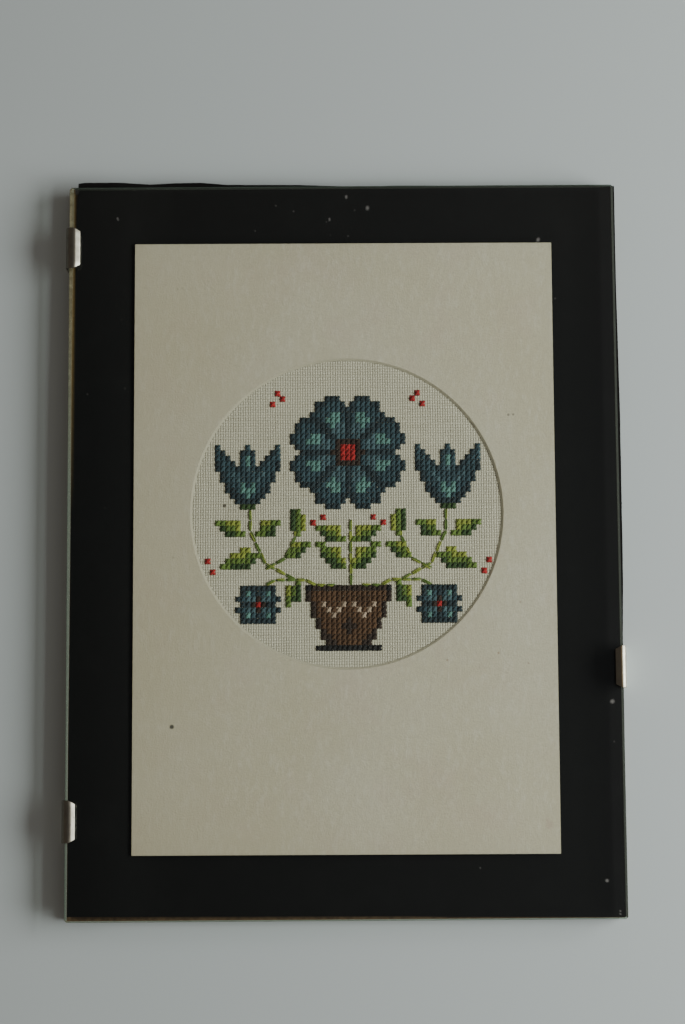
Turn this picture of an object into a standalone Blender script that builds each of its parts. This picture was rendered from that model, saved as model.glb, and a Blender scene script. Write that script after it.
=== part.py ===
"""A clip frame that holds a piece of counted cross stitch on linen behind a round window.

The frame has no moulding. A glass pane and a hardboard back press the work between them, and bent spring
clips hold the two together. +Z points out of the glass, +Y to the top of the picture, and the back legs of
the clips lie flat at Z = 0. The origin is the middle of the whole outline, on the plane that those legs
rest on.
"""

import math

import bmesh
import bpy

MM = 0.001

# The pane and the back are one standard format, 18 by 24 cm.
PANE_WIDTH = 180 * MM
PANE_HEIGHT = 240 * MM
GAP = 0.3 * MM

CLIP_METAL = 0.5 * MM
BOARD_THICK = 2.5 * MM
SHEET_THICK = 1.0 * MM
GLASS_THICK = 2.0 * MM
GLASS_ARRIS = 0.45 * MM

# Each layer's underside, from the surface up.
BOARD_Z = CLIP_METAL + GAP
PAPER_Z = BOARD_Z + BOARD_THICK + GAP
LINEN_Z = PAPER_Z + SHEET_THICK + GAP
CARD_Z = LINEN_Z + SHEET_THICK + GAP
GLASS_Z = CARD_Z + SHEET_THICK + GAP
GLASS_TOP = GLASS_Z + GLASS_THICK

# The black paper stands this far proud of the pane's top edge, and the outline's middle follows it.
PAPER_PROUD = 3.0 * MM
PANE_Y = -PAPER_PROUD / 2

CARD_WIDTH = 138.0 * MM
CARD_HEIGHT = 200.5 * MM
CARD_OFFSET = (0.3 * MM, 1.0 * MM)
CARD_TURN = math.radians(-0.1)

WINDOW_RADIUS = 50.85 * MM
WINDOW_OFFSET = (1.1 * MM, 11.3 * MM)
WINDOW_CUT_LEAN = 0.3 * MM
WINDOW_SEGMENTS = 96

LINEN_WIDTH = 128 * MM
LINEN_HEIGHT = 132 * MM

# The black paper is cut by hand. Its corners and the turns of its edges, in millimetres from the pane's
# middle, clockwise from the top left: along the top, down the right, back along the bottom, up the left.
PAPER_TOP = (
    (-87.7, 122.7), (-85.5, 123.0), (-74.0, 123.0), (-64.0, 122.3), (-55.0, 122.7), (-47.0, 122.8),
    (-38.0, 122.0), (-14.0, 121.8), (2.0, 121.2), (20.0, 121.4), (53.0, 121.0), (91.1, 120.9),
)
PAPER_RIGHT = ((91.1, 48.0), (90.7, -10.0), (90.2, -30.0), (90.0, -60.0), (89.9, -119.7))
PAPER_BOTTOM = (
    (69.0, -119.5), (33.0, -119.3), (17.0, -119.0), (-15.0, -118.7), (-47.0, -118.6), (-89.7, -118.5),
)
PAPER_LEFT = ((-89.6, -17.0), (-89.2, 49.0), (-88.8, 83.0), (-88.2, 114.0))

# The clips. WALL_X is the middle of the metal that stands beside the pane's edge.
WALL_X = PANE_WIDTH / 2 + 0.6 * MM + CLIP_METAL / 2
CLIP_HALF_WIDTH = 6.8 * MM
LIP_TIP_HALF_WIDTH = 5.65 * MM
LIP_CORNER = 2.0 * MM
HEEL_RADIUS = 0.9 * MM
LEG_LENGTH = 18.0 * MM
LEG_END_HALF_WIDTH = 4.2 * MM
LEG_TAPER = 7.0 * MM
LEG_ROUND = 2.4 * MM
LEG_ROUND_TURNS = (0, 25, 50, 75)
BEND_STEPS = 8

# side: -1 is the picture's left. y is from the pane's middle. reach is how far the lip's tip lies in from
# the wall's middle, bend the radius over the pane's edge, and slope the lip's fall to its tip in degrees.
CLIPS = {
    "clip_left_upper": {"side": -1, "y": 99.4 * MM, "reach": 4.75 * MM, "bend": 2.2 * MM, "slope": 12},
    "clip_left_lower": {"side": -1, "y": -88.1 * MM, "reach": 4.45 * MM, "bend": 2.1 * MM, "slope": 12},
    "clip_right": {"side": 1, "y": -39.6 * MM, "reach": 3.25 * MM, "bend": 1.3 * MM, "slope": 24},
}


def clear_scene():
    for old in list(bpy.data.objects):
        bpy.data.objects.remove(old, do_unlink=True)


def finish(name, colour, roughness, metallic=0.0, transmission=0.0):
    """A Principled material of one sub-part."""
    material = bpy.data.materials.new(name)
    material.use_nodes = True
    shader = material.node_tree.nodes["Principled BSDF"]
    shader.inputs["Base Color"].default_value = (*colour, 1.0)
    shader.inputs["Roughness"].default_value = roughness
    shader.inputs["Metallic"].default_value = metallic
    shader.inputs["Transmission Weight"].default_value = transmission
    return material


def add_object(name, form, material=None):
    """Turns a bmesh into an object, with its faces pointing out."""
    bmesh.ops.recalc_face_normals(form, faces=form.faces)
    mesh = bpy.data.meshes.new(name)
    form.to_mesh(mesh)
    form.free()
    if material:
        mesh.materials.append(material)
    thing = bpy.data.objects.new(name, mesh)
    bpy.context.scene.collection.objects.link(thing)
    return thing


def bevelled(thing, width):
    bevel = thing.modifiers.new("edge", "BEVEL")
    bevel.width = width
    bevel.segments = 1
    bevel.limit_method = "ANGLE"
    return thing


def slab(name, width, height, thick, underside, middle, material):
    """A flat block with its underside at the given height and its middle over the given point."""
    form = bmesh.new()
    bmesh.ops.create_cube(form, size=1.0)
    bmesh.ops.scale(form, vec=(width, height, thick), verts=form.verts)
    bmesh.ops.translate(form, vec=(0, 0, thick / 2), verts=form.verts)
    thing = add_object(name, form, material)
    thing.location = (middle[0], middle[1], underside)
    return thing


def cut_sheet(name, outline, thick, underside, material):
    """A flat sheet cut along an outline given in millimetres from the pane's middle."""
    form = bmesh.new()
    corners = [form.verts.new((x * MM, y * MM, 0)) for x, y in outline]
    face = form.faces.new(corners)
    raised = bmesh.ops.extrude_face_region(form, geom=[face])
    lifted = [v for v in raised["geom"] if isinstance(v, bmesh.types.BMVert)]
    bmesh.ops.translate(form, vec=(0, 0, thick), verts=lifted)
    thing = add_object(name, form, material)
    thing.location = (0, PANE_Y, underside)
    return thing


def window_cutter():
    """The round knife path through the card, a little narrower at the back than at the front."""
    depth = 3 * SHEET_THICK
    lean = WINDOW_CUT_LEAN * depth / SHEET_THICK / 2
    form = bmesh.new()
    bmesh.ops.create_cone(
        form,
        cap_ends=True,
        segments=WINDOW_SEGMENTS,
        radius1=WINDOW_RADIUS - WINDOW_CUT_LEAN / 2 - lean,
        radius2=WINDOW_RADIUS - WINDOW_CUT_LEAN / 2 + lean,
        depth=depth,
    )
    cutter = add_object("window_cutter", form)
    cutter.location = (WINDOW_OFFSET[0], PANE_Y + WINDOW_OFFSET[1], CARD_Z + SHEET_THICK / 2)
    cutter.hide_render = True
    cutter.display_type = "WIRE"
    return cutter


def window_card(material):
    middle = (CARD_OFFSET[0], PANE_Y + CARD_OFFSET[1])
    card = slab("window_card", CARD_WIDTH, CARD_HEIGHT, SHEET_THICK, CARD_Z, middle, material)
    card.rotation_euler = (0, 0, CARD_TURN)
    cut = card.modifiers.new("window", "BOOLEAN")
    cut.operation = "DIFFERENCE"
    cut.object = window_cutter()
    return card


def arc(centre, radius, start, stop):
    """Points of an arc in a clip's side view, as (distance in from the wall, height), ends included."""
    angles = (start + (stop - start) * i / BEND_STEPS for i in range(BEND_STEPS + 1))
    return [(centre[0] + radius * math.cos(a), centre[1] + radius * math.sin(a)) for a in angles]


def clip_stations(reach, bend, slope):
    """The strip's middle from the lip's tip over the pane's edge to the end of the back leg.

    Each station is (distance in from the wall, height, half width).
    """
    slope = math.radians(slope)
    flat_run = reach - bend * (1 + math.sin(slope))
    tip_z = GLASS_TOP + GAP + CLIP_METAL / 2
    bend_z = tip_z + flat_run * math.tan(slope) - bend * math.cos(slope)
    leg_z = CLIP_METAL / 2

    stations = [(reach, tip_z, LIP_TIP_HALF_WIDTH)]
    if flat_run > LIP_CORNER:
        stations.append((reach - LIP_CORNER, tip_z + LIP_CORNER * math.tan(slope), CLIP_HALF_WIDTH))
    for x, z in arc((bend, bend_z), bend, math.pi / 2 - slope, math.pi):
        share = min(1.0, (reach - x) / LIP_CORNER)
        half = LIP_TIP_HALF_WIDTH + (CLIP_HALF_WIDTH - LIP_TIP_HALF_WIDTH) * share
        stations.append((x, z, half))

    for x, z in arc((HEEL_RADIUS, leg_z + HEEL_RADIUS), HEEL_RADIUS, math.pi, 1.5 * math.pi):
        stations.append((x, z, CLIP_HALF_WIDTH))
    stations.append((LEG_LENGTH - LEG_TAPER, leg_z, CLIP_HALF_WIDTH))
    for turn in map(math.radians, LEG_ROUND_TURNS):
        x = LEG_LENGTH - LEG_ROUND * (1 - math.sin(turn))
        stations.append((x, leg_z, LEG_END_HALF_WIDTH - LEG_ROUND * (1 - math.cos(turn))))
    return stations


def spring_clip(name, side, y, reach, bend, slope, material):
    """A strip of spring steel, drawn out station by station and given the metal's thickness."""
    form = bmesh.new()
    stations = clip_stations(reach, bend, slope)
    x, z, half = stations[0]
    ends = [form.verts.new((side * (WALL_X - x), s * half, z)) for s in (-1, 1)]
    row = [form.edges.new(ends)]
    for before, after in zip(stations, stations[1:]):
        made = bmesh.ops.extrude_edge_only(form, edges=row)["geom"]
        verts = [v for v in made if isinstance(v, bmesh.types.BMVert)]
        row = [e for e in made if isinstance(e, bmesh.types.BMEdge)]
        bmesh.ops.scale(form, vec=(1, after[2] / before[2], 1), verts=verts)
        step = (side * (before[0] - after[0]), 0, after[1] - before[1])
        bmesh.ops.translate(form, vec=step, verts=verts)
    for face in form.faces:
        face.smooth = True
    for edge in form.edges:
        edge.smooth = not edge.is_boundary
    clip = add_object(name, form, material)
    clip.location = (0, PANE_Y + y, 0)
    metal = clip.modifiers.new("metal", "SOLIDIFY")
    metal.thickness = CLIP_METAL
    metal.offset = 0
    metal.use_even_offset = True
    return clip


clear_scene()

hardboard = finish("brown hardboard", (0.16, 0.10, 0.055), 0.8)
black_sheet = finish("black paper", (0.012, 0.013, 0.013), 0.85)
linen = finish("off-white linen", (0.62, 0.60, 0.52), 0.9)
cream_card = finish("cream card", (0.60, 0.57, 0.46), 0.85)
window_glass = finish("clear glass", (0.92, 0.97, 0.94), 0.02, transmission=1.0)
spring_steel = finish("plated spring steel", (0.62, 0.60, 0.54), 0.35, metallic=1.0)

board = slab(
    "backing_board", PANE_WIDTH, PANE_HEIGHT, BOARD_THICK, BOARD_Z, (0, PANE_Y), hardboard
)
bevelled(board, 0.2 * MM)

cut_sheet(
    "black_paper", PAPER_TOP + PAPER_RIGHT + PAPER_BOTTOM + PAPER_LEFT, SHEET_THICK, PAPER_Z, black_sheet
)

linen_middle = (WINDOW_OFFSET[0], PANE_Y + WINDOW_OFFSET[1])
slab("linen_cloth", LINEN_WIDTH, LINEN_HEIGHT, SHEET_THICK, LINEN_Z, linen_middle, linen)

window_card(cream_card)

pane = slab("glass_pane", PANE_WIDTH, PANE_HEIGHT, GLASS_THICK, GLASS_Z, (0, PANE_Y), window_glass)
bevelled(pane, GLASS_ARRIS)

for clip_name, clip_sizes in CLIPS.items():
    spring_clip(clip_name, material=spring_steel, **clip_sizes)
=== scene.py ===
"""Looks of a clip frame that holds counted cross stitch on linen behind a round window.

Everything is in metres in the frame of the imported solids: +X is the picture's right, +Y its top and +Z out of
the glass, and the surface that the frame lies on is Z = 0.
"""

import math
import random

import bmesh
import bpy
import numpy as np
from mathutils import Matrix, Vector, noise


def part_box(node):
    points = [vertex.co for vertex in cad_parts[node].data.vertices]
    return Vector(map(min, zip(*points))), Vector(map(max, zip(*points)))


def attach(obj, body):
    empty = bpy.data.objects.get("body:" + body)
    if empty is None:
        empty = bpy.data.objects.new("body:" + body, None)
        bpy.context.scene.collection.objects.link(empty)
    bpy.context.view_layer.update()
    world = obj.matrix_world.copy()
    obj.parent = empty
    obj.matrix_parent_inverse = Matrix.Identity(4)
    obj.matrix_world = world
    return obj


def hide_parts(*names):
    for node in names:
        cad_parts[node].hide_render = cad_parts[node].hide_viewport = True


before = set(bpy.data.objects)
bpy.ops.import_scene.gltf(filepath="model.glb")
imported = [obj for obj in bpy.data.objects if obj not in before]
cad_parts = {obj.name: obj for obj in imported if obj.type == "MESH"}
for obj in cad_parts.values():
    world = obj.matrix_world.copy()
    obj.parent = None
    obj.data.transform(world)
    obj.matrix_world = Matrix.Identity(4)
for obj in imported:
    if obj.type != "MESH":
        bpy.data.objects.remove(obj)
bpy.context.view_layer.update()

MM = 0.001


# The back is a sheet of brown hardboard, sawn to the pane's size. Its face is smooth, its cut edge is fibrous
# and its back has the print of the wire mesh that it was pressed on.
class Amount:
    """A number that varies over a surface. Sums written with it become Math nodes."""

    def __init__(self, finish, socket):
        self.finish = finish
        self.socket = socket

    def math(self, operation, *others):
        terms = dict(enumerate((self, *others)))
        return self.finish.node("ShaderNodeMath", {"operation": operation}, terms)

    def __add__(self, other):
        return self.math("ADD", other)

    def __sub__(self, other):
        return self.math("SUBTRACT", other)

    def __mul__(self, other):
        return self.math("MULTIPLY", other)

    def __rsub__(self, other):
        return self * -1.0 + other

    def __truediv__(self, other):
        return self.math("DIVIDE", other)

    def __pow__(self, other):
        return self.math("POWER", other)

    __radd__ = __add__
    __rmul__ = __mul__

    def clamped(self):
        return self.math("MINIMUM", 1.0).math("MAXIMUM", 0.0)

    def rising(self, start, end):
        """0 where the number is below start, 1 above end, and a ramp between."""
        return ((self - start) / (end - start)).clamped()


class Finish:
    """One material, or the room's light, made node by node."""

    def __init__(self, name, owner=None):
        self.owner = owner or bpy.data.materials.new(name)
        self.owner.use_nodes = True
        self.tree = self.owner.node_tree
        self.tree.nodes.clear()

    def node(self, kind, settings=None, inputs=None, output=0):
        made = self.tree.nodes.new(kind)
        for name, value in (settings or {}).items():
            setattr(made, name, value)
        for name, value in (inputs or {}).items():
            if isinstance(value, Amount):
                self.tree.links.new(value.socket, made.inputs[name])
            else:
                made.inputs[name].default_value = value
        return None if output is None else Amount(self, made.outputs[output])

    def place(self):
        return self.node("ShaderNodeTexCoord", output="Object")

    def parts(self, point):
        """The three numbers of a point or a direction."""
        split = self.node("ShaderNodeSeparateXYZ", inputs={0: point}).socket.node
        return [Amount(self, output) for output in split.outputs]

    def axes(self):
        """X, Y and Z of the object in millimetres."""
        return [part * 1000.0 for part in self.parts(self.place())]

    def grain(self, scale, detail=2.0, stretch=(1, 1, 1), rough=0.5):
        """Noise from 0 to 1 with the given number of waves to a metre, stretched along the axes."""
        spread = self.node("ShaderNodeMapping", inputs={"Vector": self.place(), "Scale": stretch})
        return self.node(
            "ShaderNodeTexNoise",
            inputs={"Vector": spread, "Scale": scale, "Detail": detail, "Roughness": rough},
        )

    def blend(self, share, first, second):
        """From the first colour to the second."""
        colours = [c if isinstance(c, Amount) else (*c, 1.0) for c in (first, second)]
        inputs = {0: share, 6: colours[0], 7: colours[1]}
        return self.node("ShaderNodeMix", {"data_type": "RGBA"}, inputs, output=2)

    def spot(self, x, y, inner, outer):
        """1 inside a round mark at x and y in millimetres, fading out to its outer radius."""
        flat = self.node(
            "ShaderNodeVectorMath", {"operation": "MULTIPLY"}, {0: self.place(), 1: (1, 1, 0)}
        )
        middle = (x * MM, y * MM, 0)
        away = self.node(
            "ShaderNodeVectorMath", {"operation": "DISTANCE"}, {0: flat, 1: middle}, output="Value"
        )
        return 1.0 - (away * 1000.0).rising(inner, outer)

    def relief(self, height, depth, strength=1.0):
        """A bump whose height of 1 stands for the given depth in metres."""
        inputs = {"Height": height, "Distance": depth, "Strength": strength}
        return self.node("ShaderNodeBump", inputs=inputs)

    def principled(self, **inputs):
        """The surface itself. Underlines in the names stand for blanks."""
        named = {}
        for name, value in inputs.items():
            if isinstance(value, tuple):
                value = (*value, 1.0)
            named[name.replace("_", " ")] = value
        return self.node("ShaderNodeBsdfPrincipled", inputs=named)

    def show(self, surface, end="ShaderNodeOutputMaterial"):
        self.node(end, inputs={"Surface": surface}, output=None)
        return self.owner


def dress(node_name, material):
    """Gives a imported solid, whose shape is right as it is, its finish."""
    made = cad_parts[node_name]
    made.data.materials.clear()
    made.data.materials.append(material)


MESH_PITCH = 1.3
MESH_SIDE = (0.02, 0.10)
FACE_SKIN = (-0.12, -0.04)
LEFT_LIGHT_TO_SHADE = (-88.9, -87.3)
SAWN_LEFT = (-89.8, -88.8)
SAWN_FOOT = (-121.0, -120.0)
board_low, board_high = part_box("backing_board")

hardboard = Finish("brown hardboard")
x, y, z = hardboard.axes()
fibre = hardboard.grain(1400, detail=4, rough=0.65)
cloud = hardboard.grain(60, detail=2)
wire_across = (x * (math.tau / MESH_PITCH)).math("SINE")
wire_down = (y * (math.tau / MESH_PITCH)).math("SINE")
behind = 1.0 - (z - board_low.z / MM).rising(*MESH_SIDE)
brown = hardboard.blend(fibre.rising(0.3, 0.75), (0.10, 0.060, 0.030), (0.26, 0.185, 0.105))
brown = hardboard.blend(cloud.rising(0.4, 0.8) * 0.35, brown, (0.30, 0.22, 0.13))
# Painted light and shade: the face is painted light along its left edge and darkens inward, as painted shade
# where the loose paper's edge shades the board.
face = (z - board_high.z / MM).rising(*FACE_SKIN)
paper_shade_inward = x.rising(*LEFT_LIGHT_TO_SHADE)
brown = hardboard.blend(face * (0.10 + 0.80 * paper_shade_inward), brown, (0.030, 0.016, 0.007))
# The rim along the left edge and the foot is paler: partly the fibre of the sawn edge, partly painted light.
rim = (1.0 - x.rising(*SAWN_LEFT)).math("MAXIMUM", 1.0 - y.rising(*SAWN_FOOT))
brown = hardboard.blend(rim * (0.25 + 0.5 * fibre), brown, (0.185, 0.125, 0.062))
mottle = hardboard.grain(650, detail=3, rough=0.7).rising(0.42, 0.62)
brown = hardboard.blend(face * mottle * 0.60, brown, (0.020, 0.012, 0.006))
dress(
    "backing_board",
    hardboard.show(
        hardboard.principled(
            Base_Color=brown,
            Roughness=0.62 + 0.25 * fibre,
            Specular_IOR_Level=0.3,
            Normal=hardboard.relief(fibre * 0.3 + wire_across * wire_down * behind, 0.18 * MM),
        )
    ),
)


# A sheet of black paper covers the board. It was cut by hand a little askew and stands out past the pane
# along the top and right. It lies loose between board and glass, so it waves a little and its left margin
# springs up.
PAPER_THICK = 0.4 * MM
PAPER_CELL = 7 * MM
PAPER_WAVE = 0.22 * MM
PAPER_NICK = 0.06 * MM
PAPER_SPRING = 3.0 * MM
PAPER_DRAW = 1.4
PAPER_PROUD = 0.6 * MM
SPRUNG_FROM = -60 * MM
SPRUNG_TO = -79 * MM
DRAWN_ABOUT = -70 * MM
PROUD_ACROSS = (80 * MM, 88 * MM)
PROUD_DOWN = (90 * MM, 45 * MM)


def share(value, start, end):
    """0 up to start, 1 from end on, and in proportion between."""
    return min(1.0, max(0.0, (value - start) / (end - start)))


def eased(part):
    """A share that leaves 0 and reaches 1 smoothly."""
    return part * part * (3 - 2 * part)


def placed(name, data):
    """A new object in the scene that shows the given data."""
    made = bpy.data.objects.new(name, data)
    bpy.context.scene.collection.objects.link(made)
    return made


def add_piece(name, form, *materials):
    """Turns a bmesh into a piece that rides with the frame."""
    mesh = bpy.data.meshes.new(name)
    form.to_mesh(mesh)
    form.free()
    for material in materials:
        mesh.materials.append(material)
    piece = placed(name, mesh)
    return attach(piece, "root")


def copy_of(node_name):
    """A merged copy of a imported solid's mesh."""
    form = bmesh.new()
    form.from_mesh(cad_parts[node_name].data)
    bmesh.ops.remove_doubles(form, verts=form.verts, dist=0.00001)
    return form


black = Finish("black paper")
fluff = black.grain(2600, detail=3, rough=0.6)
wear = black.grain(90, detail=3)
tone = black.blend(fluff.rising(0.35, 0.8), (0.0028, 0.0030, 0.0030), (0.0058, 0.0060, 0.0059))
tone = black.blend(wear.rising(0.5, 0.75) * 0.5, tone, (0.0070, 0.0072, 0.0071))
black_finish = black.show(
    black.principled(
        Base_Color=tone,
        Roughness=0.80 + 0.12 * fluff,
        Specular_IOR_Level=0.18,
        Normal=black.relief(fluff, 0.03 * MM),
    )
)

paper_low, paper_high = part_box("black_paper")
form = copy_of("black_paper")
lower = [f for f in form.faces if f.normal.z < 0.5]
bmesh.ops.delete(form, geom=lower, context="FACES")
bmesh.ops.dissolve_limit(form, angle_limit=0.01, verts=form.verts, edges=form.edges)
outline = [e for e in form.edges if e.is_boundary]
bmesh.ops.subdivide_edges(form, edges=outline, cuts=11)
for axis in (Vector((1, 0, 0)), Vector((0, 1, 0))):
    low, high = paper_low.dot(axis), paper_high.dot(axis)
    for step in range(1, int((high - low) / PAPER_CELL) + 1):
        cut_at = axis * (low + step * PAPER_CELL)
        parts = form.verts[:] + form.edges[:] + form.faces[:]
        bmesh.ops.bisect_plane(form, geom=parts, plane_co=cut_at, plane_no=axis)
for v in form.verts:
    swell = noise.noise(Vector((v.co.x * 18, v.co.y * 14, 0.0)))
    nick = noise.noise(Vector((v.co.x * 900, v.co.y * 900, 3.0))) if v.is_boundary else 0.0
    spring = PAPER_SPRING * eased(share(v.co.x, SPRUNG_FROM, SPRUNG_TO))
    v.co.z = (paper_low.z + paper_high.z + PAPER_THICK) / 2 + PAPER_WAVE * swell + spring
    proud = PAPER_PROUD * share(v.co.x, *PROUD_ACROSS) * share(v.co.y, *PROUD_DOWN)
    v.co.x += PAPER_NICK * nick + proud - PAPER_DRAW * spring * v.co.x
    v.co.y += PAPER_NICK * nick - PAPER_DRAW * spring * (v.co.y - DRAWN_ABOUT)
for face in form.faces:
    face.smooth = True
black_paper = add_piece("black_paper_sheet", form, black_finish)
body = black_paper.modifiers.new("paper", "SOLIDIFY")
body.thickness = PAPER_THICK
body.offset = -1
cut_edge = black_paper.modifiers.new("cut edge", "EDGE_SPLIT")
cut_edge.split_angle = math.radians(40)
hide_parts("black_paper")


# The ground is an evenweave linen of about twelve threads to the centimetre, trimmed a little larger than the
# window and held flat behind it. Each thread is a little uneven, and the holes between the threads are open.
THREADS_ACROSS = 156
THREADS_DOWN = 148
WINDOW_THREADS = (128, 118)
CREST = 0.24 * MM
BACK_DROP = 0.45 * MM
BILLOW = 0.10 * MM
RIM_RISE = 0.26 * MM
RIM_PART = (39 * MM, 49 * MM)
# Marks on the linen: x and y, inner and outer radius in millimetres.
BROWN_MARK = (-39.0, 12.5, 0.35, 0.75)
BLUE_TRACE = (5.5, -33.6, 0.8, 2.6)

linen_low, linen_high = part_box("linen_cloth")
linen_middle = (linen_low + linen_high) / 2
warp_pitch = (linen_high.x - linen_low.x) / THREADS_ACROSS
weft_pitch = (linen_high.y - linen_low.y) / THREADS_DOWN
hole_z = linen_high.z - CREST


def linen_height(x, y):
    """The gentle billow of the cloth over its flat level, and its rise to the card round the window."""
    away = math.hypot(x - linen_middle.x, y - linen_middle.y)
    billow = BILLOW * noise.noise(Vector((x * 26, y * 22, 5.0)))
    return billow + RIM_RISE * eased(share(away, *RIM_PART))


def drawn_out(form, edges):
    """Extrudes the edges in place, and gives the new points and the new edges."""
    out = bmesh.ops.extrude_edge_only(form, edges=edges)["geom"]
    points = [g for g in out if isinstance(g, bmesh.types.BMVert)]
    return points, [g for g in out if isinstance(g, bmesh.types.BMEdge)]


linen = Finish("off-white linen")
x, y, z = linen.axes()
drift = linen.grain(60, detail=3) - 0.5
drift_too = linen.grain(52, detail=3, stretch=(1, 1, 3)) - 0.5
u = (x - linen_middle.x / MM) / (warp_pitch / MM) + drift * 0.7
v = (y - linen_middle.y / MM) / (weft_pitch / MM) + drift_too * 0.7
warp_side = (u * math.pi).math("COSINE")
weft_side = (v * math.pi).math("COSINE")
over = warp_side * weft_side
warp_round = warp_side.math("ABSOLUTE") ** 0.6
weft_round = weft_side.math("ABSOLUTE") ** 0.6
warp_slub = linen.grain(1.0, detail=3, stretch=(1 / warp_pitch, 70, 1), rough=0.6)
weft_slub = linen.grain(1.0, detail=3, stretch=(70, 1 / weft_pitch, 1), rough=0.6)
warp_high = warp_round * (0.55 + 0.45 * over)
weft_high = weft_round * (0.55 - 0.45 * over)
height = warp_high.math("MAXIMUM", weft_high)
on_top = over.rising(-0.3, 0.3)
slub = warp_slub * on_top + weft_slub * (1.0 - on_top)
flax = linen.grain(5200, detail=2)
shade = height.rising(0.02, 0.55)
pale = linen.blend(slub.rising(0.3, 0.7), (0.63, 0.595, 0.460), (0.85, 0.815, 0.665))
pale = linen.blend((1.0 - shade) * 0.80, pale, (0.24, 0.22, 0.17))
# Painted shade in the gaps between the weft threads.
weft_gap_shade = 1.0 - weft_side.math("ABSOLUTE").rising(0.15, 0.60)
pale = linen.blend(weft_gap_shade * 0.25, pale, (0.36, 0.33, 0.25))
mellow = linen.grain(28, detail=2).rising(0.45, 0.75)
pale = linen.blend(mellow * 0.25, pale, (0.66, 0.60, 0.47))
pale = linen.blend(linen.spot(*BROWN_MARK) * 0.92, pale, (0.07, 0.055, 0.04))
pale = linen.blend(linen.spot(*BLUE_TRACE) * 0.22, pale, (0.30, 0.42, 0.50))
linen_finish = linen.show(
    linen.principled(
        Base_Color=pale,
        Roughness=0.82 + 0.1 * flax,
        Specular_IOR_Level=0.25,
        Sheen_Weight=0.15,
        Normal=linen.relief(height + 0.18 * flax, 0.30 * MM, 0.9),
    )
)

form = bmesh.new()
steps = [2 * count for count in WINDOW_THREADS]
bmesh.ops.create_grid(form, x_segments=steps[0], y_segments=steps[1], size=0.5)
fine = (WINDOW_THREADS[0] * warp_pitch, WINDOW_THREADS[1] * weft_pitch, 1)
bmesh.ops.scale(form, vec=fine, verts=form.verts)
bmesh.ops.translate(form, vec=(linen_middle.x, linen_middle.y, hole_z), verts=form.verts)
for point in form.verts:
    across = abs(math.cos(math.pi * (point.co.x - linen_middle.x) / warp_pitch))
    down = abs(math.cos(math.pi * (point.co.y - linen_middle.y) / weft_pitch))
    lift = 0.6 * max(across, down) + 0.4 * across * down
    point.co.z += CREST * lift + linen_height(point.co.x, point.co.y)
moved, rim = drawn_out(form, [e for e in form.edges if e.is_boundary])
wider = (THREADS_ACROSS / WINDOW_THREADS[0], THREADS_DOWN / WINDOW_THREADS[1], 1)
there = Matrix.Translation(-linen_middle)
bmesh.ops.scale(form, vec=wider, space=there, verts=moved)
for point in moved:
    point.co.z = hole_z + CREST / 2
moved, rim = drawn_out(form, rim)
bmesh.ops.translate(form, vec=(0, 0, -BACK_DROP), verts=moved)
bmesh.ops.edgeloop_fill(form, edges=rim)
bmesh.ops.recalc_face_normals(form, faces=form.faces)
for face in form.faces:
    face.smooth = face.normal.z > 0.1
linen_cloth = add_piece("linen_ground", form, linen_finish)
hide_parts("linen_cloth")


# The design is worked in cotton over two threads each way. It is a traditional pot of flowers: charts give
# the tulip and the pot from their left halves, and rules draw the round flowers, leaves and stems.
TULIP = (
    "T.....T",
    "TD...DT",
    "TTD..TL",
    "DTTD.TL",
    "DTTTDTM",
    ".DTMTTT",
    ".DTTMTT",
    "..DTTLT",
    "..DDTLL",
    "...DDTL",
    "....DDD",
    ".....FF",
)
POT = (
    "KNNNNNNNN",
    "NBBBBBBBB",
    "NBBBBBBBB",
    ".NBPBBBPB",
    ".NBBPBPBB",
    ".NBBBPBBB",
    "..NBBBBBN",
    "..NBBBBNN",
    "...NBBBBN",
    "...NNBBBB",
    "....NNBBB",
    "..KKKKKKK",
)
# Leaves on the right: column and row of the stalk, turn in degrees, length and width in stitches.
LEAVES = (
    (1, -10, 40, 6.5, 3.0),
    (1, -5, 24, 5.5, 2.6),
    (10, -4, 84, 5.0, 2.6),
    (12, -8, 150, 4.6, 2.4),
    (18, -8, -14, 8, 3.4),
    (21, -4, 24, 6.5, 3.0),
    (18, -4, 152, 5.0, 2.6),
    (10, -13, -60, 5.5, 2.8),
)
BERRIES = ((28, -9), (27, -11), (5, -1), (7, -2), (13, 21), (15, 20), (14, 22))
ROW_RATIO = weft_pitch / warp_pitch
chart = {}
stems = []


def motif(lines, column, row):
    """A mirrored motif from its left half, with its middle column and its top row placed."""
    for down, line in enumerate(lines):
        for i, thread in enumerate(line):
            away = len(line) - 1 - i
            if thread != ".":
                chart[(column - away, row - down)] = thread
                chart[(column + away, row - down)] = thread


def flower(column, row, radius, petals):
    """A round flower: petals with dark gaps between them, a pale vein in each, and a red heart."""
    reach = math.ceil(radius)
    for i in range(-reach, reach + 1):
        for j in range(-reach, reach + 1):
            away = math.hypot(i, j * ROW_RATIO)
            turn = math.atan2(j * ROW_RATIO, i) + math.pi / petals
            wave = math.cos(petals * turn)
            edge = radius * (0.82 + 0.18 * abs(math.cos(petals / 2 * turn)) ** 0.6)
            if away > edge:
                continue
            if away < 0.14 * radius:
                thread = "R"
            elif away < 0.27 * radius:
                thread = "N"
            elif wave < -0.6 or away > edge - 1.0:
                thread = "D"
            elif abs(away - 0.62 * radius) < 0.10 * radius and wave > 0.3:
                thread = "L"
            elif abs(away - 0.42 * radius) < 0.1 * radius:
                thread = "M"
            else:
                thread = "T"
            chart[(column + i, row + j)] = thread


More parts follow.
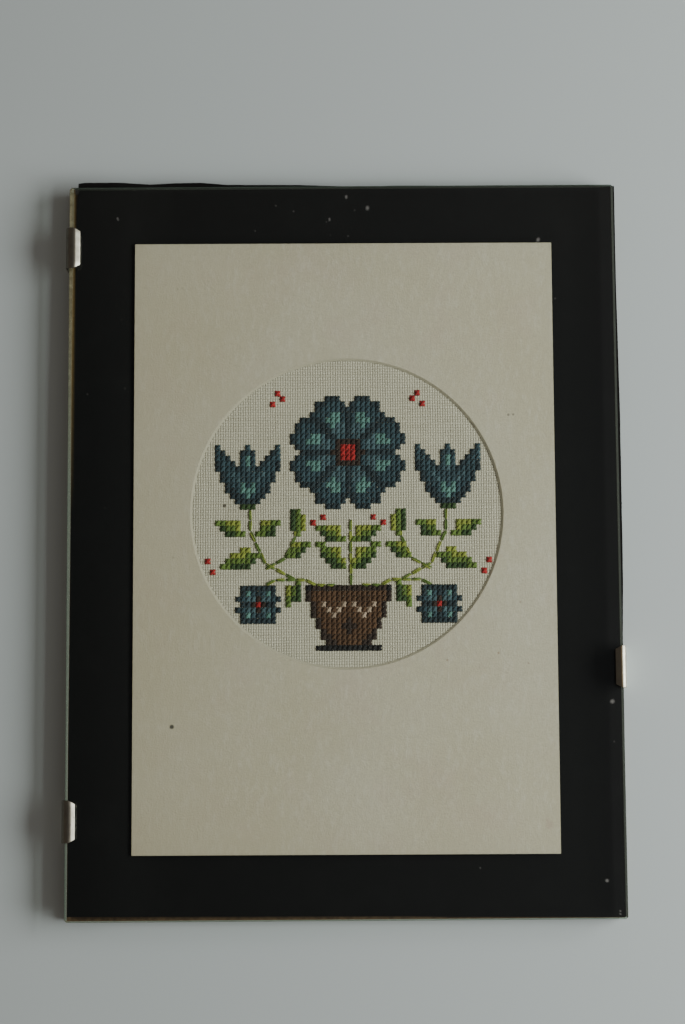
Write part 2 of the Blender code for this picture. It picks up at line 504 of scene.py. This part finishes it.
def leaf(column, row, turn, length, width):
    """A pointed leaf from its stalk, pale above its rib and dark below."""
    turn = math.radians(turn)
    reach = math.ceil(length)
    for i in range(-reach, reach + 1):
        for j in range(-reach, reach + 1):
            along = i * math.cos(turn) + j * math.sin(turn)
            across = j * math.cos(turn) - i * math.sin(turn)
            half = width / 2 * math.sin(math.pi * (max(0.0, along) / length) ** 0.8)
            if not 0 <= along <= length or abs(across) > half + 0.2:
                continue
            side = across if math.cos(turn) > 0 else -across
            thread = "F" if side < -0.5 else "G" if side < 0.5 else "Y"
            chart[(column + i, row + j)] = thread


def stem(start, bend, end):
    """Back stitches over two crosses at a time, from hole to hole along a smooth curve."""
    holes = []
    for i in range(41):
        t = i / 40
        spot = [
            (1 - t) ** 2 * a + 2 * t * (1 - t) * b + t * t * c for a, b, c in zip(start, bend, end)
        ]
        place = tuple(math.copysign(math.floor(abs(value)) + 0.5, value) for value in spot)
        if not holes or math.dist(holes[-1], place) > 1.9 or i == 40:
            holes.append(place)
    stems.append(holes)


stem((0, -13.2), (0, -8), (0, -1))
for side in (-1, 1):
    stem((side * 2.4, -13.2), (side * 19.9, -13.6), (side * 19.9, 0.4))
    stem((side * 6.4, -13.2), (side * 12, -10.6), (side * 16.5, -13.6))
    stem((side * 16.6, -10.4), (side * 11, -8), (side * 10, -3))
    for column, row, turn, length, width in LEAVES:
        leaf(side * column, row, turn if side > 0 else 180 - turn, length, width)
    motif(TULIP, side * 20, 12)
    flower(side * 18, -17, 4.6, 4)
flower(0, 11, 11.8, 8)
motif(POT, 0, -14)
for side in (-1, 1):
    for column, row in BERRIES:
        chart[(side * column, row)] = "R"


# Each cross is two legs of soft cotton, every upper leg running the same way. A leg lies over the threads,
# swells between its two holes and dives into them. The stems are doubled back stitches of the same cotton.
COTTON = {
    "T": ("deep_teal", (0.034, 0.073, 0.093)),
    "D": ("dark_teal", (0.020, 0.038, 0.048)),
    "M": ("mid_teal", (0.068, 0.127, 0.150)),
    "L": ("light_teal", (0.120, 0.270, 0.245)),
    "B": ("brown", (0.108, 0.052, 0.021)),
    "N": ("dark_brown", (0.036, 0.020, 0.012)),
    "K": ("black", (0.010, 0.010, 0.011)),
    "P": ("pink_beige", (0.520, 0.390, 0.285)),
    "Y": ("yellow_green", (0.290, 0.345, 0.050)),
    "G": ("leaf_green", (0.125, 0.205, 0.034)),
    "F": ("dark_green", (0.036, 0.078, 0.019)),
    "R": ("red", (0.440, 0.018, 0.018)),
}
LEG_WIDTH = 1.10 * MM
LEG_THICK = 0.38 * MM
LEG_ARCH = 0.22 * MM
STEM_WIDTH = 0.58 * MM
STRAND_APART = 0.50 * MM
STEM_LIFT = 0.05 * MM
UPPER_LIFT = 0.16 * MM
ON_LINEN = 0.12 * MM
chance = random.Random(12)


def cotton_leg():
    """One leg, a unit long each way from its middle along X, as arrays of points, faces and their UVs."""
    form = bmesh.new()
    layer = form.loops.layers.uv.new("thread")
    bmesh.ops.create_uvsphere(form, u_segments=6, v_segments=6, radius=1.0, calc_uvs=True)
    for point in form.verts:
        t = point.co.z
        full = math.sqrt((1 - t ** 6) / max(1e-6, 1 - t * t)) if abs(t) < 0.999 else 1.0
        point.co = (t, point.co.x * full, point.co.y * full)
    points = np.array([point.co[:] for point in form.verts])
    faces = [[point.index for point in face.verts] for face in form.faces]
    uvs = np.array([loop[layer].uv[:] for face in form.faces for loop in face.loops])
    form.free()
    return points, faces, uvs


def lay_leg(start, end, width, thick, lift):
    """The leg's points between two holes of the linen."""
    run = Vector(end) - Vector(start)
    middle = (Vector(start) + Vector(end)) / 2
    turn = math.atan2(run.y, run.x) + chance.uniform(-0.06, 0.06)
    reach = run.length / 2 * chance.uniform(0.96, 1.05)
    width *= chance.uniform(0.84, 1.12)
    bow = chance.uniform(-0.04, 0.04) * MM
    t, across, up = LEG[0].T
    arch = (1 - t ** 2) * (LEG_ARCH + lift)
    px = t * reach
    py = across * width / 2 + bow * (1 - t ** 2)
    pz = up * thick / 2 + arch
    base = hole_z + ON_LINEN + linen_height(middle.x, middle.y)
    return np.stack(
        [
            middle.x + px * math.cos(turn) - py * math.sin(turn),
            middle.y + px * math.sin(turn) + py * math.cos(turn),
            base + pz,
        ],
        axis=1,
    )


def cotton_finish(name, colour):
    """Mercerised cotton: plies run round the leg, each leg is a little lighter or darker than the next."""
    cotton = Finish(name + " cotton")
    shade = cotton.node("ShaderNodeAttribute", {"attribute_name": "shade"}, output="Fac")
    round_it, along, _ = cotton.parts(cotton.node("ShaderNodeTexCoord", output="UV"))
    turns = (round_it * 5.0 + along * 2.2) * math.tau
    ply = turns.math("SINE") * 0.5 + 0.5
    hair = cotton.grain(4200, detail=2)
    dark = tuple(0.55 * c for c in colour)
    light = tuple(min(1.0, 1.32 * c + 0.012) for c in colour)
    # Painted shade and light: the grooves between the plies are darker and their ridges lighter, on top of each
    # leg's own tone.
    mixed = cotton.blend((0.20 + 0.42 * ply * hair + 0.55 * shade).clamped(), dark, light)
    return cotton.show(
        cotton.principled(
            Base_Color=mixed,
            Roughness=0.55 + 0.2 * hair,
            Specular_IOR_Level=0.22,
            Sheen_Weight=0.30,
            Sheen_Roughness=0.4,
            Normal=cotton.relief(ply, 0.05 * MM, 0.8),
        )
    )


def work(name, legs, colour):
    """All the legs of one colour as one piece, with each leg's own shade."""
    points, faces, uvs = LEG
    mesh = bpy.data.meshes.new(name)
    count = len(points)
    joined = [[n * count + i for i in face] for n in range(len(legs)) for face in faces]
    mesh.from_pydata(np.concatenate([leg for leg, _ in legs]).tolist(), [], joined)
    mesh.uv_layers.new(name="thread").data.foreach_set("uv", np.tile(uvs, (len(legs), 1)).ravel())
    shades = mesh.attributes.new("shade", "FLOAT", "POINT")
    shades.data.foreach_set("value", np.repeat([shade for _, shade in legs], count))
    mesh.polygons.foreach_set("use_smooth", [True] * len(mesh.polygons))
    mesh.materials.append(cotton_finish(name, colour))
    piece = placed(name, mesh)
    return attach(piece, "root")


def hole(column, row):
    """The place of a hole of the linen, in stitches from the design's middle."""
    x = linen_middle.x + (2 * column + 0.5) * warp_pitch
    y = linen_middle.y + (2 * row + 0.5) * weft_pitch
    return (x, y, 0.0)


LEG = cotton_leg()
legs_of = {thread: [] for thread in COTTON}
for (column, row), thread in sorted(chart.items()):
    patch = noise.noise(Vector((column * 0.33, row * 0.33, 1.0)))
    for rising, lift in ((-0.5, 0.0), (0.5, UPPER_LIFT)):
        start, end = hole(column - 0.5, row - rising), hole(column + 0.5, row + rising)
        shade = 0.35 + 0.35 * patch + chance.uniform(-0.35, 0.35)
        legs_of[thread].append((lay_leg(start, end, LEG_WIDTH, LEG_THICK, lift), shade))
for holes in stems:
    for first, second in zip(holes, holes[1:]):
        start, end = Vector(hole(*first)), Vector(hole(*second))
        aside = Vector((start.y - end.y, end.x - start.x, 0.0)).normalized() * STRAND_APART / 2
        for strand in (-aside, aside):
            shade = 0.35 + chance.uniform(-0.3, 0.3)
            laid = lay_leg(start + strand, end + strand, STEM_WIDTH, LEG_THICK, STEM_LIFT)
            legs_of["G" if chance.random() < 0.45 else "Y"].append((laid, shade))
stitches = [work("cotton_" + COTTON[t][0], legs, COTTON[t][1]) for t, legs in legs_of.items() if legs]


# The window card is cream card gone a little brown, laid over the linen. Its round window was cut with a
# blade that leaned outward, so the cut shows as a pale line on the side that the light meets.
card_low, card_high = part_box("window_card")
CUT_TOP = 51.25
CUT_FOOT = 50.50
CARD_EDGE = 0.07 * MM
CARD_THICK = 0.45 * MM
WITHIN_CUT = 55 * MM
DARKER_LEFT = (-69.0, -20.0)
DARKER_FOOT = (-101.0, -80.0)

card = Finish("aged cream card")
x, y, z = card.axes()
pulp = card.grain(1900, detail=3, rough=0.6)
strand = card.grain(700, detail=3, stretch=(1, 0.35, 1), rough=0.7)
cloud = card.grain(22, detail=3)
blotch = card.grain(70, detail=2)
cream = card.blend(cloud.rising(0.35, 0.7), (0.650, 0.600, 0.450), (0.700, 0.658, 0.528))
cream = card.blend(blotch.rising(0.50, 0.75) * 0.45, cream, (0.665, 0.572, 0.470))
cream = card.blend((1.0 - pulp.rising(0.25, 0.6)) * 0.42, cream, (0.45, 0.41, 0.32))
cream = card.blend(strand.rising(0.50, 0.72) * 0.38, cream, (0.80, 0.77, 0.68))
# The card is darker towards its left and towards its bottom.
darker_left_and_foot = (1.0 - x.rising(*DARKER_LEFT)) * 0.42 + (1.0 - y.rising(*DARKER_FOOT)) * 0.25
cream = card.blend(darker_left_and_foot.clamped(), cream, (0.60, 0.535, 0.39))
# Stains and specks: x and y, inner and outer radius in millimetres, strength and colour.
CARD_MARKS = (
    (-56.0, -59.5, 0.48, 0.92, 0.90, (0.05, 0.05, 0.045)),
    (-54.4, 84.6, 0.15, 0.40, 0.45, (0.22, 0.19, 0.14)),
    (-53.0, 84.9, 0.10, 0.35, 0.40, (0.22, 0.19, 0.14)),
    (54.4, 41.9, 0.28, 0.55, 0.70, (0.20, 0.18, 0.15)),
    (56.0, 42.0, 0.24, 0.50, 0.65, (0.20, 0.18, 0.15)),
    (-55.6, -4.6, 0.10, 0.45, 0.40, (0.25, 0.20, 0.14)),
    (-46.8, -5.7, 0.12, 0.45, 0.45, (0.25, 0.20, 0.14)),
    (33.4, -38.5, 0.15, 0.55, 0.50, (0.35, 0.20, 0.12)),
    (50.0, -36.3, 0.15, 0.55, 0.55, (0.30, 0.16, 0.10)),
    (57.4, -19.8, 0.12, 0.50, 0.45, (0.33, 0.22, 0.14)),
    (59.7, -39.7, 0.12, 0.45, 0.50, (0.28, 0.16, 0.11)),
    (65.6, -91.6, 0.60, 1.80, 0.35, (0.52, 0.38, 0.32)),
    (64.9, -90.0, 0.20, 0.90, 0.30, (0.50, 0.36, 0.30)),
)
for mark_x, mark_y, inner, outer, strength, ink in CARD_MARKS:
    cream = card.blend(card.spot(mark_x, mark_y, inner, outer) * strength, cream, ink)
cut = card.spot(linen_middle.x / MM, linen_middle.y / MM, CUT_TOP - 0.06, CUT_TOP + 0.02)
cream = card.blend(cut, cream, (0.54, 0.505, 0.39))
card_finish = card.show(
    card.principled(
        Base_Color=cream,
        Roughness=0.78 + 0.15 * pulp,
        Specular_IOR_Level=0.2,
        Normal=card.relief(pulp + 0.6 * strand + 0.8 * cloud, 0.08 * MM),
    )
)

form = copy_of("window_card")
for point in form.verts:
    upper = point.co.z > (card_low.z + card_high.z) / 2
    away = Vector((point.co.x - linen_middle.x, point.co.y - linen_middle.y))
    if away.length < WITHIN_CUT:
        away *= (CUT_TOP if upper else CUT_FOOT) * MM / away.length
        point.co.x, point.co.y = linen_middle.x + away.x, linen_middle.y + away.y
    if upper:
        point.co.z = card_low.z + CARD_THICK
sharp = [e for e in form.edges if e.calc_face_angle(0) > math.radians(30)]
bmesh.ops.bevel(
    form, geom=sharp, offset=CARD_EDGE, affect="EDGES", segments=2, profile=0.5, material=-1
)
window_card = add_piece("cream_window_card", form, card_finish)
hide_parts("window_card")


# The pane is 2 mm float glass. Its edges are ground by hand to a dull arris, which shows as a pale grey-green
# line round the pane, and a little dust lies on it.
ARRIS = {"left": 0.90 * MM, "right": 0.75 * MM, "top": 0.45 * MM, "bottom": 0.40 * MM}
ARRIS_DEEP = 0.35 * MM
ARRIS_WAVE = 0.07 * MM
ARRIS_WORN = 0.30 * MM
ARRIS_FULL = 0.45 * MM
CORNER_NIP = 0.7 * MM
HEAD_ON = 0.043
WORN_PART = (10 * MM, -70 * MM)
FULL_PART = (60 * MM, 110 * MM)
CORNER_GRIME = (-88.2, 117.7, 1.0, 1.5)
LIT_BOARD_ACROSS = (-88.9, -87.9)
LIT_BOARD_UP = (10.0, 75.0)
LEFT_ARRIS = (-89.4, -88.0)
FOOT_ARRIS = (-121.0, -120.3)
BESIDE_BOARD = (20.0, 75.0)
FOOT_FADING = (-20.0, 60.0)
CLIP_SHADE_BELOW = (-106.0, -84.0)
# Dust: x and y, inner and outer radius in millimetres.
GLASS_DUST = (
    (86.4, -52.3, 0.3, 0.9),
    (8.6, 111.2, 0.2, 0.8),
    (65.0, 100.1, 0.2, 0.8),
    (-74.1, 108.0, 0.1, 0.5),
    (1.6, 115.0, 0.2, 0.6),
    (-4.0, 107.4, 0.1, 0.5),
    (83.5, -109.4, 0.2, 0.7),
    (87.5, -119.0, 0.1, 0.4),
    (87.5, -119.9, 0.1, 0.4),
)

glass = Finish("clear pane")
clear = glass.node("ShaderNodeBsdfTransparent", inputs={"Color": (0.955, 0.975, 0.962, 1.0)})
shine = glass.node("ShaderNodeBsdfGlossy", inputs={"Color": (1, 1, 1, 1), "Roughness": 0.02})
facing = glass.node("ShaderNodeLayerWeight", inputs={"Blend": 0.5}, output="Facing")
mirror = HEAD_ON + (1.0 - HEAD_ON) * facing ** 5.0
pane = glass.node("ShaderNodeMixShader", inputs={0: mirror, 1: clear, 2: shine})
speck = glass.node(
    "ShaderNodeTexVoronoi", {"feature": "F1"}, {"Vector": glass.place(), "Scale": 150.0}
)
sparse = glass.grain(60, detail=0).rising(0.50, 0.75)
lint = (1.0 - speck.rising(0.02, 0.07)) * sparse * 0.35
for dust_x, dust_y, inner, outer in GLASS_DUST:
    lint = lint + glass.spot(dust_x, dust_y, inner, outer) * 0.5
dust = glass.principled(Base_Color=(0.42, 0.42, 0.41), Roughness=0.9)
pane = glass.node("ShaderNodeMixShader", inputs={0: lint.clamped() * 0.4, 1: pane, 2: dust})
grime = glass.principled(Base_Color=(0.010, 0.010, 0.008), Roughness=0.95)
caked = glass.spot(*CORNER_GRIME) * 0.92
pane = glass.node("ShaderNodeMixShader", inputs={0: caked, 1: pane, 2: grime})
x, y, z = glass.axes()
# Painted light: an opaque tan film on the pane's upper left stands in for the board lit beside the paper's
# shadow.
lit_board_paint = (1.0 - x.rising(*LIT_BOARD_ACROSS)) * y.rising(*LIT_BOARD_UP)
lit_board_paint = lit_board_paint * (0.17 + 0.36 * glass.grain(700, detail=2))
lit_board_tan = glass.principled(Base_Color=(0.24, 0.17, 0.05), Roughness=0.8)
pane = glass.node("ShaderNodeMixShader", inputs={0: lit_board_paint, 1: pane, 2: lit_board_tan})
glass_finish = glass.show(pane)

ground = Finish("ground glass edge")
x, y, z = ground.axes()
grit = ground.grain(3500, detail=2)
chips = ground.grain(500, detail=2)
at_left = 1.0 - x.rising(*LEFT_ARRIS)
by_board = y.rising(*BESIDE_BOARD) * at_left
along_foot = (1.0 - y.rising(*FOOT_ARRIS)) * (1.0 - 0.6 * x.rising(*FOOT_FADING))
by_board = by_board.math("MAXIMUM", along_foot)
# Painted light: beside the board, at the upper left and along the foot, the frost takes the tan of the lit
# board under it.
lit_board_tint = ground.blend(chips.rising(0.38, 0.62), (0.52, 0.46, 0.29), (0.26, 0.215, 0.115))
frost = ground.principled(
    Base_Color=ground.blend(by_board, (0.33, 0.385, 0.325), lit_board_tint),
    Roughness=0.55 + 0.3 * grit,
    Specular_IOR_Level=0.4,
    Normal=ground.relief(grit + chips, 0.05 * MM),
)
through = ground.node("ShaderNodeBsdfTransparent", inputs={"Color": (0.80, 0.88, 0.82, 1.0)})
# The veil is thicker along the left edge, as painted light where light through the pane meets that edge, and
# thinner below the lower clip, as painted shade.
clip_shade_below = 1.0 - y.rising(*CLIP_SHADE_BELOW)
veil = (0.095 + 0.275 * at_left * (1.0 - 0.40 * clip_shade_below)) * (0.7 + 0.4 * grit + 0.3 * chips)
misted = ground.node("ShaderNodeMixShader", inputs={0: veil, 1: through, 2: frost})
ground_finish = ground.show(misted)

wall = Finish("dark glass wall")
streak = wall.grain(900, detail=2, stretch=(1, 1, 0.2))
wall_finish = wall.show(
    wall.principled(
        Base_Color=wall.blend(streak, (0.020, 0.045, 0.036), (0.050, 0.085, 0.070)),
        Roughness=0.35 + 0.2 * streak,
    )
)

pane_low, pane_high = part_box("glass_pane")
pane_middle = (pane_low + pane_high) / 2
form = bmesh.new()
bmesh.ops.create_cube(form, size=1.0)
bmesh.ops.scale(form, vec=pane_high - pane_low, verts=form.verts)
bmesh.ops.translate(form, vec=pane_middle, verts=form.verts)
upright = [e for e in form.edges if abs(e.verts[0].co.z - e.verts[1].co.z) > MM]
bmesh.ops.bevel(
    form, geom=upright, offset=CORNER_NIP, affect="EDGES", segments=1, profile=0.5, material=-1
)
level = [e for e in form.edges if abs(e.verts[0].co.z - e.verts[1].co.z) < 0.1 * MM]
sides = [e for e in level if e.calc_length() > 10 * MM]
bmesh.ops.subdivide_edges(form, edges=sides, cuts=40)
for side in (-1, 1):
    flat = max(form.faces, key=lambda f: side * f.normal.z)
    bmesh.ops.inset_region(form, faces=[flat], thickness=ARRIS["top"], use_even_offset=True)
    inner = set(flat.verts)
    for point in form.verts:
        if side * (point.co.z - pane_middle.z) > 0.9 * MM and point not in inner:
            point.co.z -= side * ARRIS_DEEP
    for point in inner:
        wobble = ARRIS_WAVE * noise.noise(Vector((point.co.x * 90, point.co.y * 90, side)))
        across = "left" if point.co.x < pane_middle.x else "right"
        down = "bottom" if point.co.y < pane_middle.y else "top"
        half_x, half_y = (pane_high.x - pane_low.x) / 2, (pane_high.y - pane_low.y) / 2
        place = point.co - pane_middle
        worn = ARRIS_WORN * share(point.co.y, *WORN_PART)
        worn -= ARRIS_FULL * share(point.co.y, *FULL_PART)
        ground_by = ARRIS[across] - ARRIS["top"] - (worn if across == "left" else 0.0)
        point.co.x -= math.copysign(wobble, place.x) + place.x / half_x * ground_by
        point.co.y -= math.copysign(wobble, place.y) + place.y / half_y * (ARRIS[down] - ARRIS["top"])
form.normal_update()
for face in form.faces:
    upright_share = abs(face.normal.z)
    face.material_index = 0 if upright_share > 0.999 else 2 if upright_share < 0.1 else 1
glass_pane = add_piece("glass_sheet", form, glass_finish, ground_finish, wall_finish)
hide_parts("glass_pane")


# Three clips of plated spring steel are pushed on over the edges. Each is a strip bent over the pane, down
# the side and under the board, and its plating is dull, tarnished in patches and scratched along the strip.
METAL = 0.5 * MM
TIP_GAP = 0.3 * MM
CLIP_HALF = 6.8 * MM
TIP_HALF = 5.65 * MM
TIP_CORNER = 2.0 * MM
HEEL = 0.9 * MM
LEG_LONG = 18.0 * MM
LEG_END_HALF = 4.2 * MM
LEG_TAPER = 7.0 * MM
LEG_ROUND = 2.4 * MM
CLIP_EDGE = 0.10 * MM
# Where the plating is darker or yellow-brown, in millimetres.
LEFT_BEND = (-88.0, -87.6)
RIGHT_HALF = (50.0, 60.0)
RIGHT_BEND = (89.35, 89.75)
FOLD_FROM = (88.9, 89.4)
FOLD_TO = (89.5, 89.9)
ABOVE_BOARD = (6.0, 8.0)
# Each clip: its side, the lip's reach, the bend's radius and the lip's slope in degrees.
CLIPS = {
    "clip_left_upper": (-1, 4.45 * MM, 2.25 * MM, 22),
    "clip_left_lower": (-1, 4.05 * MM, 2.10 * MM, 22),
    "clip_right": (1, 3.25 * MM, 1.3 * MM, 24),
}

steel = Finish("dull plated steel")
x, y, z = steel.axes()
scratch = steel.grain(1.0, detail=3, stretch=(6000, 350, 6000), rough=0.6)
tarnish = steel.grain(450, detail=3)
fine_pits = steel.grain(3200, detail=2)
plate = steel.blend(tarnish.rising(0.35, 0.7), (0.48, 0.48, 0.39), (0.65, 0.66, 0.57))
plate = steel.blend((1.0 - scratch.rising(0.28, 0.42)) * 0.5, plate, (0.25, 0.21, 0.16))
above = z.rising(*ABOVE_BOARD)
# The left clips' bends and the right clip's lip are darker, and the right clip's fold is yellow-brown.
darker_plating = (1.0 - x.rising(*LEFT_BEND)) + x.rising(*RIGHT_HALF) * (1.0 - x.rising(*RIGHT_BEND))
plate = steel.blend(darker_plating * above * (0.65 + 0.35 * tarnish), plate, (0.092, 0.083, 0.069))
fold = x.rising(*FOLD_FROM) * (1.0 - x.rising(*FOLD_TO)) * above
plate = steel.blend(fold * (0.4 + 0.4 * tarnish), plate, (0.30, 0.21, 0.09))
for nick_x, nick_y, inner, outer in ((-86.9, -88.2, 0.05, 0.30), (-87.9, -90.5, 0.05, 0.28)):
    plate = steel.blend(steel.spot(nick_x, nick_y, inner, outer) * 0.7, plate, (0.12, 0.10, 0.08))
steel_finish = steel.show(
    steel.principled(
        Base_Color=plate,
        Metallic=1.0,
        Roughness=0.30 + 0.22 * scratch + 0.12 * tarnish,
        Normal=steel.relief(scratch + 0.5 * fine_pits, 0.03 * MM),
    )
)


def lip_half(from_tip):
    """Half the lip's width, which is less at its nipped tip."""
    return TIP_HALF + (CLIP_HALF - TIP_HALF) * share(from_tip, 0.0, TIP_CORNER)


def strip_stations(reach, bend, slope, tip_z):
    """The strip's middle from tip to back leg: run from the wall, height and half width."""
    slope = math.radians(slope)
    flat_run = reach - bend * (1 + math.sin(slope))
    bend_z = tip_z + flat_run * math.tan(slope) - bend * math.cos(slope)
    line = []
    for i in range(5):
        run = flat_run * i / 5
        line.append((reach - run, tip_z + run * math.tan(slope), lip_half(run)))
    for i in range(17):
        turn = math.pi / 2 - slope + (math.pi / 2 + slope) * i / 16
        run = bend + bend * math.cos(turn)
        line.append((run, bend_z + bend * math.sin(turn), lip_half(reach - run)))
    for i in range(9):
        turn = math.pi + math.pi / 2 * i / 8
        rise = METAL / 2 + HEEL * (1 + math.sin(turn))
        line.append((HEEL * (1 + math.cos(turn)), rise, CLIP_HALF))
    line.append((LEG_LONG - LEG_TAPER, METAL / 2, CLIP_HALF))
    for i in range(7):
        turn = math.radians(80) * i / 6
        half = LEG_END_HALF - LEG_ROUND * (1 - math.cos(turn))
        line.append((LEG_LONG - LEG_ROUND * (1 - math.sin(turn)), METAL / 2, half))
    return line


for name, (side, reach, bend, slope) in CLIPS.items():
    low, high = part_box(name)
    wall_x = high.x - METAL / 2 if side > 0 else low.x + METAL / 2
    middle_y = (low.y + high.y) / 2
    line = strip_stations(reach, bend, slope, pane_high.z + TIP_GAP + METAL / 2)
    form = bmesh.new()
    inward, height, half = line[0]
    first = form.verts.new((wall_x - side * inward, middle_y - half, height))
    last = form.verts.new((wall_x - side * inward, middle_y + half, height))
    bmesh.ops.subdivide_edges(form, edges=[form.edges.new((first, last))], cuts=5)
    row = list(form.edges)
    for before, after in zip(line, line[1:]):
        moved, row = drawn_out(form, row)
        for point in moved:
            point.co.y = middle_y + (point.co.y - middle_y) * after[2] / before[2]
            point.co.x += side * (before[0] - after[0])
            point.co.z += after[1] - before[1]
    bmesh.ops.recalc_face_normals(form, faces=form.faces)
    for face in form.faces:
        face.smooth = True
    clip = add_piece(name + "_strip", form, steel_finish)
    metal = clip.modifiers.new("metal", "SOLIDIFY")
    metal.thickness = METAL
    metal.offset = 0
    metal.use_even_offset = True
    rounded = clip.modifiers.new("edge", "BEVEL")
    rounded.width = CLIP_EDGE
    rounded.segments = 2
    rounded.limit_method = "ANGLE"
    rounded.angle_limit = math.radians(50)
    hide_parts(name)


# The frame lies on a plain pale surface. It stands in for whatever the frame is put down on.
floor = Finish("pale surface")
cloud = floor.grain(7, detail=2)
pale = floor.blend(cloud, (0.470, 0.545, 0.555), (0.490, 0.560, 0.570))
form = bmesh.new()
bmesh.ops.create_grid(form, x_segments=4, y_segments=4, size=1.5)
mesh = bpy.data.meshes.new("pale_surface")
form.to_mesh(mesh)
form.free()
mesh.materials.append(
    floor.show(floor.principled(Base_Color=pale, Roughness=0.55, Specular_IOR_Level=0.3))
)
surface = placed("pale_surface", mesh)


# Soft light comes from a large low source to the right and a weaker one above it. The rest of the room
# gives a weak fill, weakest straight above the frame, so little shows in the glass and the shadow lies to
# the left.
world = bpy.data.worlds.new("room")
room = Finish("room", world)
sideways, _, upward = room.parts(room.node("ShaderNodeTexCoord", output="Generated"))
open_part = (1.0 - upward.rising(0.80, 0.98)) * (0.85 + 0.15 * sideways.rising(-0.6, 0.6))
overhead = 0.034 + 0.052 * sideways.rising(-0.12, 0.14)
COOL = (0.92, 0.96, 1.0, 1.0)
WARM = (1.0, 0.82, 0.69, 1.0)
dim = room.node("ShaderNodeBackground", inputs={"Color": COOL, "Strength": overhead})
fill = room.node("ShaderNodeBackground", inputs={"Color": WARM, "Strength": 0.22})
mixed = room.node("ShaderNodeMixShader", inputs={0: open_part, 1: dim, 2: fill})
bpy.context.scene.world = room.show(mixed, "ShaderNodeOutputWorld")


def soft_light(name, place, size, power, colour):
    """A rectangular source that faces the frame."""
    data = bpy.data.lights.new(name, "AREA")
    data.shape = "RECTANGLE"
    data.size, data.size_y = size
    data.energy = power
    data.color = colour
    lamp = placed(name, data)
    lamp.location = place
    lamp.rotation_euler = (-Vector(place)).to_track_quat("-Z", "Y").to_euler()


DAYLIGHT = (1.0, 0.985, 0.955)
soft_light("window_side", (0.862, -0.03, 0.500), (0.84, 0.48), 15.2, DAYLIGHT)
soft_light("window_top", (0.47, 0.0, 0.84), (0.7, 0.27), 0.3, DAYLIGHT)


# The camera stands over the frame where the photograph was taken from: a little below its middle, tilted up
# to it. Its place and turn were solved from the pane's and the card's corners.
CAMERA_PLACE = (-0.00192, -0.07126, 0.71135)
CAMERA_TURN = (6.584, -0.085, -0.383)
lens = bpy.data.cameras.new("camera")
lens.lens = 50.0
lens.sensor_width = 23.6
camera = placed("camera", lens)
camera.location = CAMERA_PLACE
camera.rotation_euler = [math.radians(turn) for turn in CAMERA_TURN]
bpy.context.scene.camera = camera
